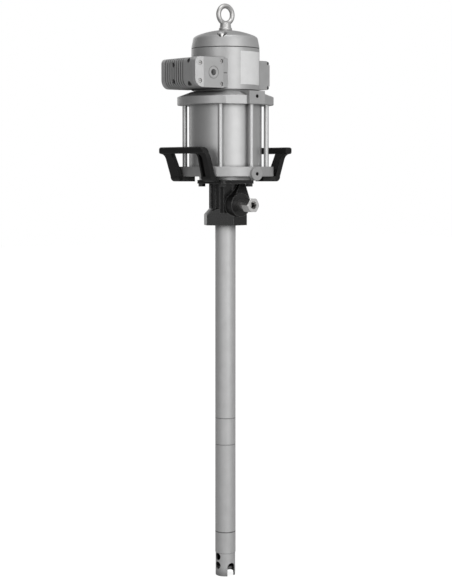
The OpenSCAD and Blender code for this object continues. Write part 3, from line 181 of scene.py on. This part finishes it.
def worn_and_highlit_edges(g, color, base, light, width, tone):
    """Brighter edges, partly bare metal where worn and partly painted highlights, found by comparing the
    rounded normal with the true one.
    """
    true_normal = g.add("ShaderNodeNewGeometry").outputs["Normal"]
    away = g.math("SUBTRACT", 1.0, g.dot(g.rounded_normal(width), true_normal), clamp=True)
    patches = g.noise(g.stretched(EVEN), EDGE_WEAR_AND_HIGHLIGHT_SCALE, 3.0)
    worn_and_highlit = g.math("MULTIPLY", g.math("MULTIPLY", away, EDGE_WEAR_AND_HIGHLIGHT_GAIN, clamp=True), patches, clamp=True)
    # Bare metal where edges wear, and the same brightening paints highlights along edges
    bare = tuple(min(c * BARE_AND_HIGHLIGHT_GAIN + tone, BARE_AND_HIGHLIGHT_LIMIT) for c in base)
    return g.mix(g.math("MULTIPLY", worn_and_highlit, light, clamp=True), color, (*bare, 1.0))


def shaded_creases(g, color, depth, reach):
    """Painted shade in the creases, by how much of its surroundings a point sees within reach."""
    sky = g.add("ShaderNodeAmbientOcclusion", {"Distance": reach}, samples=8)
    return g.multiplied(color, g.ramp(sky.outputs["AO"], [(0.25, grey(1 - depth)), (0.85, grey(1.0))]))


def seam_line(g, color, height, tone):
    """A dark line round the tube where two lengths of it meet."""
    place = g.add("ShaderNodeSeparateXYZ", {0: g.stretched(EVEN)})
    off = g.math("ABSOLUTE", g.math("SUBTRACT", place.outputs["Z"], height))
    line = g.ramp(g.math("DIVIDE", off, SEAM_HALF), [(0.55, grey(tone)), (1.0, grey(1.0))])
    return g.multiplied(color, line)


def surface(name, base, metallic, rough, grain_scale=EVEN, grain_size=900, grain_bump=0.15, spread=0.12,
            rough_spread=0.08, edge=0.0006, coat=0.0, specular=None, edge_light=0.0, edge_width=0.0012,
            edge_tone=0.12, crease=0.0, crease_reach=0.010, seams=()):
    """A procedural finish: mottled colour, edges brightened by wear and painted highlights, painted shade in
    the creases, a grain in roughness and bump, and edges rounded by the edge radius. Lengths are in metres,
    and grain_size is a noise scale per metre."""
    material = bpy.data.materials.new(name)
    material.use_nodes = True
    g = Graph(material.node_tree)
    shader = material.node_tree.nodes["Principled BSDF"].inputs
    color = mottled(g, base, spread)
    if edge_light:
        color = worn_and_highlit_edges(g, color, base, edge_light, edge_width, edge_tone)
    if crease:
        color = shaded_creases(g, color, crease, crease_reach)
    for height, tone in seams:
        color = seam_line(g, color, height, tone)
    g.fill(shader["Base Color"], color)
    shader["Metallic"].default_value = metallic
    grain = g.noise(g.stretched(grain_scale), grain_size, 2.0)
    rougher = g.math("MULTIPLY", g.math("SUBTRACT", grain, 0.5), rough_spread * 2)
    g.fill(shader["Roughness"], g.math("ADD", rougher, rough, clamp=True))
    if coat:
        shader["Coat Weight"].default_value = coat
        shader["Coat Roughness"].default_value = COAT_ROUGHNESS
    if specular is not None:
        shader["Specular IOR Level"].default_value = specular
    bump = g.add("ShaderNodeBump", {"Strength": grain_bump, "Distance": GRAIN_DEPTH, "Height": grain})
    if edge:
        g.fill(bump.inputs["Normal"], g.rounded_normal(edge))
    g.fill(shader["Normal"], bump.outputs["Normal"])
    return material


# Height of each joint of the tube, and the tone of its dark line
COUPLING_LOW, COUPLING_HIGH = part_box("tube_coupling")
TUBE_SEAMS = [(COUPLING_HIGH.z, 0.74), (COUPLING_LOW.z, 0.74), (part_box("pump_cylinder")[0].z, 0.38)]

MATERIALS = {
    "cast": surface("cast_aluminium", grey(0.47), 0.70, 0.52, grain_size=1500, grain_bump=0.35, spread=0.06,
                    edge=0.0010, edge_light=0.35, crease=0.75),
    "head": surface("head_aluminium", grey(0.51), 0.82, 0.42, grain_scale=RINGS, grain_size=60,
                    grain_bump=0.05, spread=0.04, rough_spread=0.05, edge=0.0008, edge_light=0.3,
                    crease=0.75),
    "cover": surface("cover_aluminium", grey(0.56), 0.75, 0.42, grain_size=1300, grain_bump=0.22, spread=0.05,
                     edge=0.0010, edge_light=0.4, crease=0.8),
    "flange": surface("flange_aluminium", grey(0.50), 0.80, 0.44, grain_scale=RINGS, grain_size=70,
                      grain_bump=0.08, spread=0.05, rough_spread=0.06, edge=0.0010, edge_light=0.4,
                      crease=0.8),
    "barrel": surface("barrel_aluminium", grey(0.54), 0.88, 0.40, grain_scale=UPRIGHT, grain_size=60,
                      grain_bump=0.04, spread=0.03, rough_spread=0.05, edge=0.0005, crease=0.6),
    "tube": surface("tube_steel", grey(0.65), 0.80, 0.54, grain_scale=UPRIGHT, grain_size=60, grain_bump=0.05,
                    spread=0.04, rough_spread=0.05, edge_light=0.2, crease=0.93, crease_reach=0.04,
                    seams=TUBE_SEAMS),
    # Steel inside the foot, darker than the tube's steel and with strong crease darkening, as painted shade
    "shaded_foot_inside": surface("foot_inside_steel", grey(0.30), 0.8, 0.45, grain_scale=RINGS, grain_size=80,
                           grain_bump=0.05, edge=0.0004, crease=0.93, crease_reach=0.04),
    "rod": surface("drawn_steel", grey(0.62), 0.95, 0.38, grain_scale=UPRIGHT, grain_size=90,
                   grain_bump=0.015, spread=0.02, rough_spread=0.03, edge=0.0004),
    "ground": surface("ground_steel", grey(0.68), 1.0, 0.18, grain_scale=RINGS, grain_size=90,
                      grain_bump=0.03, spread=0.03, edge=0.0004),
    "zinc": surface("zinc_steel", grey(0.86, 0.01), 1.0, 0.27, grain_bump=0.08, spread=0.06, edge_light=0.3,
                    crease=0.35),
    "forged": surface("forged_zinc_steel", grey(0.60, 0.01), 1.0, 0.34, grain_size=500, grain_bump=0.25,
                      spread=0.10, edge=0.0008, edge_light=0.2, crease=0.5),
    "black_steel": surface("black_oxide", grey(0.06), 0.6, 0.38, grain_size=1200, grain_bump=0.10,
                           spread=0.15, edge=0.0004, edge_light=0.25),
    # Its strong edge brightening paints highlights along the casting's edges, over its wear
    "black_cast": surface("black_painted_casting", grey(0.008), 0.0, 0.30, grain_size=420, grain_bump=0.55,
                          spread=0.25, rough_spread=0.14, edge=0.0012, coat=0.2, specular=0.40,
                          edge_light=0.7, edge_width=0.0024, edge_tone=0.38),
    "handle": surface("black_handle_paint", grey(0.006), 0.0, 0.46, grain_size=650, grain_bump=0.40,
                      spread=0.25, rough_spread=0.14, edge=0.0018, specular=0.34, edge_light=0.10),
    "rubber": surface("seal_rubber", grey(0.025), 0.0, 0.65, grain_size=700, grain_bump=0.1, spread=0.2,
                      edge=0.0),
    "bronze": surface("bearing_bronze", (0.50, 0.34, 0.16), 0.9, 0.35, grain_scale=RINGS, grain_size=80,
                      grain_bump=0.08, edge=0.0004),
    "ptfe": surface("packing_ptfe", (0.74, 0.71, 0.62), 0.0, 0.5, grain_size=600, grain_bump=0.1, edge=0.0),
    "foam": surface("silencer_foam", (0.20, 0.17, 0.12), 0.0, 0.9, grain_size=260, grain_bump=0.9,
                    spread=0.3, edge=0.0),
    "plate": surface("bare_plate", grey(0.80), 0.0, 0.40, grain_size=500, grain_bump=0.05, spread=0.03,
                     edge=0.0004, coat=0.2),
}

# The CAD nodes that have each material
NODES_OF = {
    "cast": ["valve_body", "exhaust_box"],
    "head": ["head_casting", "top_cap"],
    "cover": ["front_valve_cover", "rear_valve_cover"],
    "flange": ["upper_flange", "lower_flange"],
    "barrel": ["barrel"],
    "tube": ["riser_tube", "tube_coupling", "pump_cylinder", "foot_valve_body", "inlet_foot"],
    "shaded_foot_inside": ["priming_plate", "foot_check", "priming_rod", "plate_nut"],
    "rod": ["tie_rods"],
    "ground": ["valve_spool", "piston_rod", "pump_rod", "pump_piston", "piston_ball", "upper_pilot_pin",
               "lower_pilot_pin", "upper_pilot_spring", "lower_pilot_spring", "air_piston"],
    "forged": ["lifting_eye"],
    "zinc": ["tie_rod_nuts", "piston_nut", "outlet_fitting", "rod_coupling", "valve_cover_screws",
             "cap_screws"],
    "black_steel": ["head_screws", "valve_mount_screws", "exhaust_screws", "handle_screws", "body_bolts"],
    "black_cast": ["outlet_body"],
    "handle": ["left_handle", "right_handle"],
    "rubber": ["cap_gasket", "valve_gasket", "spool_seals", "barrel_seals", "air_piston_seals", "rod_seal",
               "upper_bumper", "lower_bumper"],
    "bronze": ["valve_sleeve", "rod_bush", "packing_gland"],
    "ptfe": ["rod_packing", "pump_piston_seals"],
    "foam": ["silencer_element"],
}

# Faces that meet at a smaller angle than this look like one round surface
SMOOTH_ANGLE = math.radians(35)


def dress(mesh, material):
    """One material on the whole mesh, and smooth faces between its sharp edges."""
    mesh.materials.clear()
    mesh.materials.append(material)
    for polygon in mesh.polygons:
        polygon.use_smooth = True
        polygon.material_index = 0
    mesh.set_sharp_from_angle(angle=SMOOTH_ANGLE)


for key, names in NODES_OF.items():
    for name in names:
        dress(nodes[name].data, MATERIALS[key])


# Mesh helpers

def linked(name, mesh):
    """A new object in the scene."""
    obj = bpy.data.objects.new(name, mesh)
    scene.collection.objects.link(obj)
    return obj


def piece(name, mesh, material):
    """A new piece on the body that stands still, with one material."""
    obj = linked(name, mesh)
    dress(mesh, material)
    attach(obj, "pump_frame")
    return obj


def closed_mesh(name, bm):
    """A mesh of the faces built in bm, all turned outwards."""
    bmesh.ops.recalc_face_normals(bm, faces=bm.faces)
    mesh = bpy.data.meshes.new(name)
    bm.to_mesh(mesh)
    bm.free()
    return mesh


def skinned(name, rings):
    """A closed mesh over rings of points, with a face across the first ring and across the last."""
    bm = bmesh.new()
    rows = [[bm.verts.new(point) for point in ring] for ring in rings]
    for below, above in zip(rows, rows[1:]):
        for i in range(len(below)):
            j = (i + 1) % len(below)
            bm.faces.new((below[i], below[j], above[j], above[i]))
    bm.faces.new(rows[0][::-1])
    bm.faces.new(rows[-1])
    return closed_mesh(name, bm)


def revolved(name, profile, steps, center=(0.0, 0.0)):
    """A closed mesh turned from (radius, height) pairs in metres, from its lower to its upper end."""
    turns = [2 * math.pi * i / steps for i in range(steps)]
    return skinned(name, [[(center[0] + r * math.cos(a), center[1] + r * math.sin(a), z) for a in turns]
                          for r, z in profile])


# Bare plate on the head

def bare_plate():
    """A thin plate that follows the round head, with nothing on it."""
    head_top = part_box("head_casting")[1].z
    head_radius = 83 * MM
    # The back of the plate lies in the head's skin, and its front stands proud of it
    radii = (head_radius - 0.2 * MM, head_radius + 0.15 * MM)
    middle = math.radians(-75.4)
    half_angle = math.radians(26.8)
    low = head_top - 88.5 * MM
    high = head_top - 9 * MM
    columns, rows = 32, 24
    bm = bmesh.new()
    grid = {}
    for i in range(columns + 1):
        a = middle - half_angle + 2 * half_angle * i / columns
        for j in range(rows + 1):
            z = low + (high - low) * j / rows
            for k, r in enumerate(radii):
                grid[i, j, k] = bm.verts.new((r * math.cos(a), r * math.sin(a), z))
    # Front and back
    for i in range(columns):
        for j in range(rows):
            bm.faces.new((grid[i, j, 1], grid[i + 1, j, 1], grid[i + 1, j + 1, 1], grid[i, j + 1, 1]))
            bm.faces.new((grid[i, j, 0], grid[i, j + 1, 0], grid[i + 1, j + 1, 0], grid[i + 1, j, 0]))
    # Lower and upper edge
    for i in range(columns):
        for j in (0, rows):
            bm.faces.new((grid[i, j, 0], grid[i + 1, j, 0], grid[i + 1, j, 1], grid[i, j, 1]))
    # Left and right edge
    for j in range(rows):
        for i in (0, columns):
            bm.faces.new((grid[i, j, 0], grid[i, j, 1], grid[i, j + 1, 1], grid[i, j + 1, 0]))
    piece("bare_plate", closed_mesh("bare_plate", bm), MATERIALS["plate"])


bare_plate()


# Cap

def cap_profile(foot_z, seat_z):
    """(radius, height) pairs of the cap in metres: its lip, drafted side, round shoulder and dome."""
    lip = [(80.5, 0.0), (82.4, 0.3), (82.9, 1.2)]
    side = [(82.2, 6.0), (80.6, 14.0), (79.2, 21.0)]
    shoulder = [(78.3, 24.6), (77.0, 26.8), (75.0, 28.2)]
    seat_radius = 16.0
    # Fall of the dome for each square millimetre of its squared radius, in mm
    dome_fall = 0.00288
    profile = [(r * MM, foot_z + z * MM) for r, z in lip + side + shoulder]
    for r in (*range(72, 23, -6), 19):
        profile.append((r * MM, seat_z - dome_fall * (r * r - seat_radius * seat_radius) * MM))
    return profile + [(seat_radius * MM, seat_z), (2 * MM, seat_z)]


def drafted_cap():
    """The cap with its drafted side and shallow dome, and two open screw pockets cut into its shoulder."""
    low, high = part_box("top_cap")
    body = linked("cap_body", revolved("cap_body", cap_profile(low.z, high.z), 128))
    pocket_radius = 12.4 * MM
    pocket_place = 67 * MM
    pocket_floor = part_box("cap_screws")[1].z - 8.3 * MM
    pocket_open = high.z + 10 * MM
    cutters = []
    for angle in (math.radians(-135), math.radians(45)):
        center = (pocket_place * math.cos(angle), pocket_place * math.sin(angle))
        profile = [(pocket_radius, pocket_floor), (pocket_radius, pocket_open)]
        cutter = linked("pocket", revolved("pocket", profile, 48, center))
        cut = body.modifiers.new("pocket", "BOOLEAN")
        cut.operation = "DIFFERENCE"
        cut.solver = "EXACT"
        cut.object = cutter
        cutters.append(cutter)
    bpy.context.view_layer.update()
    graph = bpy.context.evaluated_depsgraph_get()
    mesh = bpy.data.meshes.new_from_object(body.evaluated_get(graph))
    mesh.name = "drafted_cap"
    for obj in [body, *cutters]:
        bpy.data.objects.remove(obj)
    cap = piece("drafted_cap", mesh, MATERIALS["head"])
    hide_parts("top_cap")


drafted_cap()


# Collar of the lifting eye

def eye_collar():
    """The round forged collar between the ring and the cap, flared where it seats."""
    seat_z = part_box("top_cap")[1].z
    flare = [(11.0, 0.3), (16.2, 0.3), (16.6, 1.0), (16.4, 2.2), (15.2, 4.0), (14.2, 7.0)]
    neck = [(13.6, 11.0), (13.2, 15.0), (12.6, 17.5), (11.0, 19.2), (8.0, 20.0), (5.0, 20.2)]
    profile = [(r * MM, seat_z + z * MM) for r, z in flare + neck]
    piece("eye_collar", revolved("eye_collar", profile, 64), MATERIALS["forged"])


eye_collar()


# Pilot springs, which shorten as their pins are pushed

def pilot_spring(name, node, turns):
    """A wire coil in the place of a CAD spring, squashed towards its fixed end by the pin's joint."""
    low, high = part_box(node)
    cx, cy = (low.x + high.x) / 2, (low.y + high.y) / 2
    wire_radius = 0.8 * MM
    coil_radius = 5 * MM
    length = high.z - low.z
    rise = length - 2 * wire_radius
    sides, steps_per_turn = 8, 28
    steps = turns * steps_per_turn
    rings = []
    for i in range(steps + 1):
        along = i / steps
        a = 2 * math.pi * turns * along
        ring = []
        for j in range(sides):
            b = 2 * math.pi * j / sides
            r = coil_radius + wire_radius * math.cos(b)
            z = low.z + wire_radius + rise * along + wire_radius * math.sin(b)
            ring.append((cx + r * math.cos(a), cy + r * math.sin(a), z))
        rings.append(ring)
    obj = piece(name, skinned(name, rings), MATERIALS["ground"])
    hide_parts(node)
    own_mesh(obj)


pilot_spring("upper_spring_coil", "upper_pilot_spring", 5)
pilot_spring("lower_spring_coil", "lower_pilot_spring", 4)


# Floor

def floor_material():
    """A pale matt floor with a painted glow that the camera sees as plain white, glowing a little less near
    the pump.
    """
    material = bpy.data.materials.new("glowing_pale_floor")
    material.use_nodes = True
    g = Graph(material.node_tree)
    shader = material.node_tree.nodes["Principled BSDF"].inputs
    shader["Base Color"].default_value = (*grey(0.30), 1.0)
    shader["Roughness"].default_value = 0.9
    shader["Specular IOR Level"].default_value = 0.1
    shader["Emission Strength"].default_value = 1.0
    # Distance from the origin at which the floor starts to brighten, and the share it gains in each metre
    bright_from = 0.86
    bright_rate = 0.5
    coord = g.add("ShaderNodeTexCoord")
    distance = g.add("ShaderNodeVectorMath", {0: coord.outputs["Object"]}, operation="LENGTH")
    further = g.math("SUBTRACT", distance.outputs["Value"], bright_from)
    share = g.math("MULTIPLY", further, bright_rate, clamp=True)
    glow = g.ramp(share, [(0.0, grey(0.86)), (0.25, grey(0.95)), (1.0, grey(1.0))])
    # The glow that falls on the pump, which is weaker
    glow_on_pump = (*grey(0.10), 1.0)
    ray = g.add("ShaderNodeLightPath")
    g.fill(shader["Emission Color"], g.mix(ray.outputs["Is Camera Ray"], glow_on_pump, glow))
    return material


def stage_floor():
    """A floor just under the pump's foot, wide enough to show no end."""
    z = cad_box[0][2] - 0.5 * MM
    side = 14.0
    bm = bmesh.new()
    for x, y in ((-side, -side), (side, -side), (side, side), (-side, side)):
        bm.verts.new((x, y, z))
    bm.faces.new(bm.verts)
    mesh = bpy.data.meshes.new("floor")
    bm.to_mesh(mesh)
    bm.free()
    mesh.materials.append(floor_material())
    linked("floor", mesh)


stage_floor()


# Camera

camera_data = bpy.data.cameras.new("camera")
camera_data.sensor_width = SENSOR_MM
camera_data.lens = SENSOR_MM * FOCAL_PX / PHOTO_HEIGHT_PX
camera_data.shift_x = SHIFT_RIGHT_PX / PHOTO_HEIGHT_PX
camera_data.shift_y = SHIFT_UP_PX / PHOTO_HEIGHT_PX
camera_data.clip_end = 30.0
camera = linked("camera", camera_data)
camera.location = -VIEW_DIR * CAMERA_DISTANCE + Vector((0, 0, CAMERA_HEIGHT))
camera.rotation_euler = (math.radians(90 - CAMERA_TILT), 0, -math.radians(CAMERA_TURN))
scene.camera = camera


# Lights

def area_light(name, right, towards, up, width, height, power, aim_z):
    """A soft light placed by the camera's directions, in metres: to the right, towards the camera and up. It
    points at the pump's axis at the height aim_z, and its power is in watts."""
    data = bpy.data.lights.new(name, "AREA")
    data.shape = "RECTANGLE"
    data.size = width
    data.size_y = height
    data.energy = power
    place = VIEW_RIGHT * right - VIEW_DIR * towards + Vector((0, 0, up))
    light = linked(name, data)
    light.location = place
    light.rotation_euler = (Vector((0, 0, aim_z)) - place).to_track_quat("-Z", "Y").to_euler()


area_light("key", right=1.45, towards=2.4, up=0.30, width=2.0, height=2.8, power=18, aim_z=-0.3)
area_light("front", right=-1.2, towards=2.6, up=0.30, width=1.2, height=2.6, power=7, aim_z=-0.3)
area_light("top", right=0.3, towards=0.8, up=2.6, width=1.6, height=1.6, power=12, aim_z=0.1)
area_light("back", right=-1.3, towards=-2.4, up=0.9, width=1.4, height=2.2, power=7, aim_z=0.1)


def studio_world():
    """White behind the pump, and a soft grey room for reflections."""
    world = bpy.data.worlds.new("studio")
    world.use_nodes = True
    scene.world = world
    g = Graph(world.node_tree)
    coord = g.add("ShaderNodeTexCoord")
    side = g.dot(coord.outputs["Generated"], VIEW_RIGHT)
    front = g.dot(coord.outputs["Generated"], -VIEW_DIR)
    # The room's tones from the left of the camera's view, at 0, to its right, at 1
    tones = [(0.0, grey(0.22)), (0.14, grey(0.52)), (0.34, grey(0.72)), (0.62, grey(0.80)), (0.84, grey(1.0)),
             (1.0, grey(0.80))]
    across = g.math("MULTIPLY", g.math("ADD", side, 1.0), 0.5)
    # The room behind the pump is darker than the room behind the camera
    back_tone = 0.45
    half_gain = 0.28
    depth = g.math("ADD", g.math("MULTIPLY", g.math("ADD", front, 1.0), half_gain), back_tone)
    room = g.multiplied(g.ramp(across, tones), depth)
    ray = g.add("ShaderNodeLightPath")
    background = world.node_tree.nodes["Background"].inputs
    g.fill(background["Color"], g.mix(ray.outputs["Is Camera Ray"], room, (*grey(1.0), 1.0)))
    background["Strength"].default_value = 1.0


studio_world()
scene.view_settings.view_transform = "Standard"
scene.view_settings.look = "None"
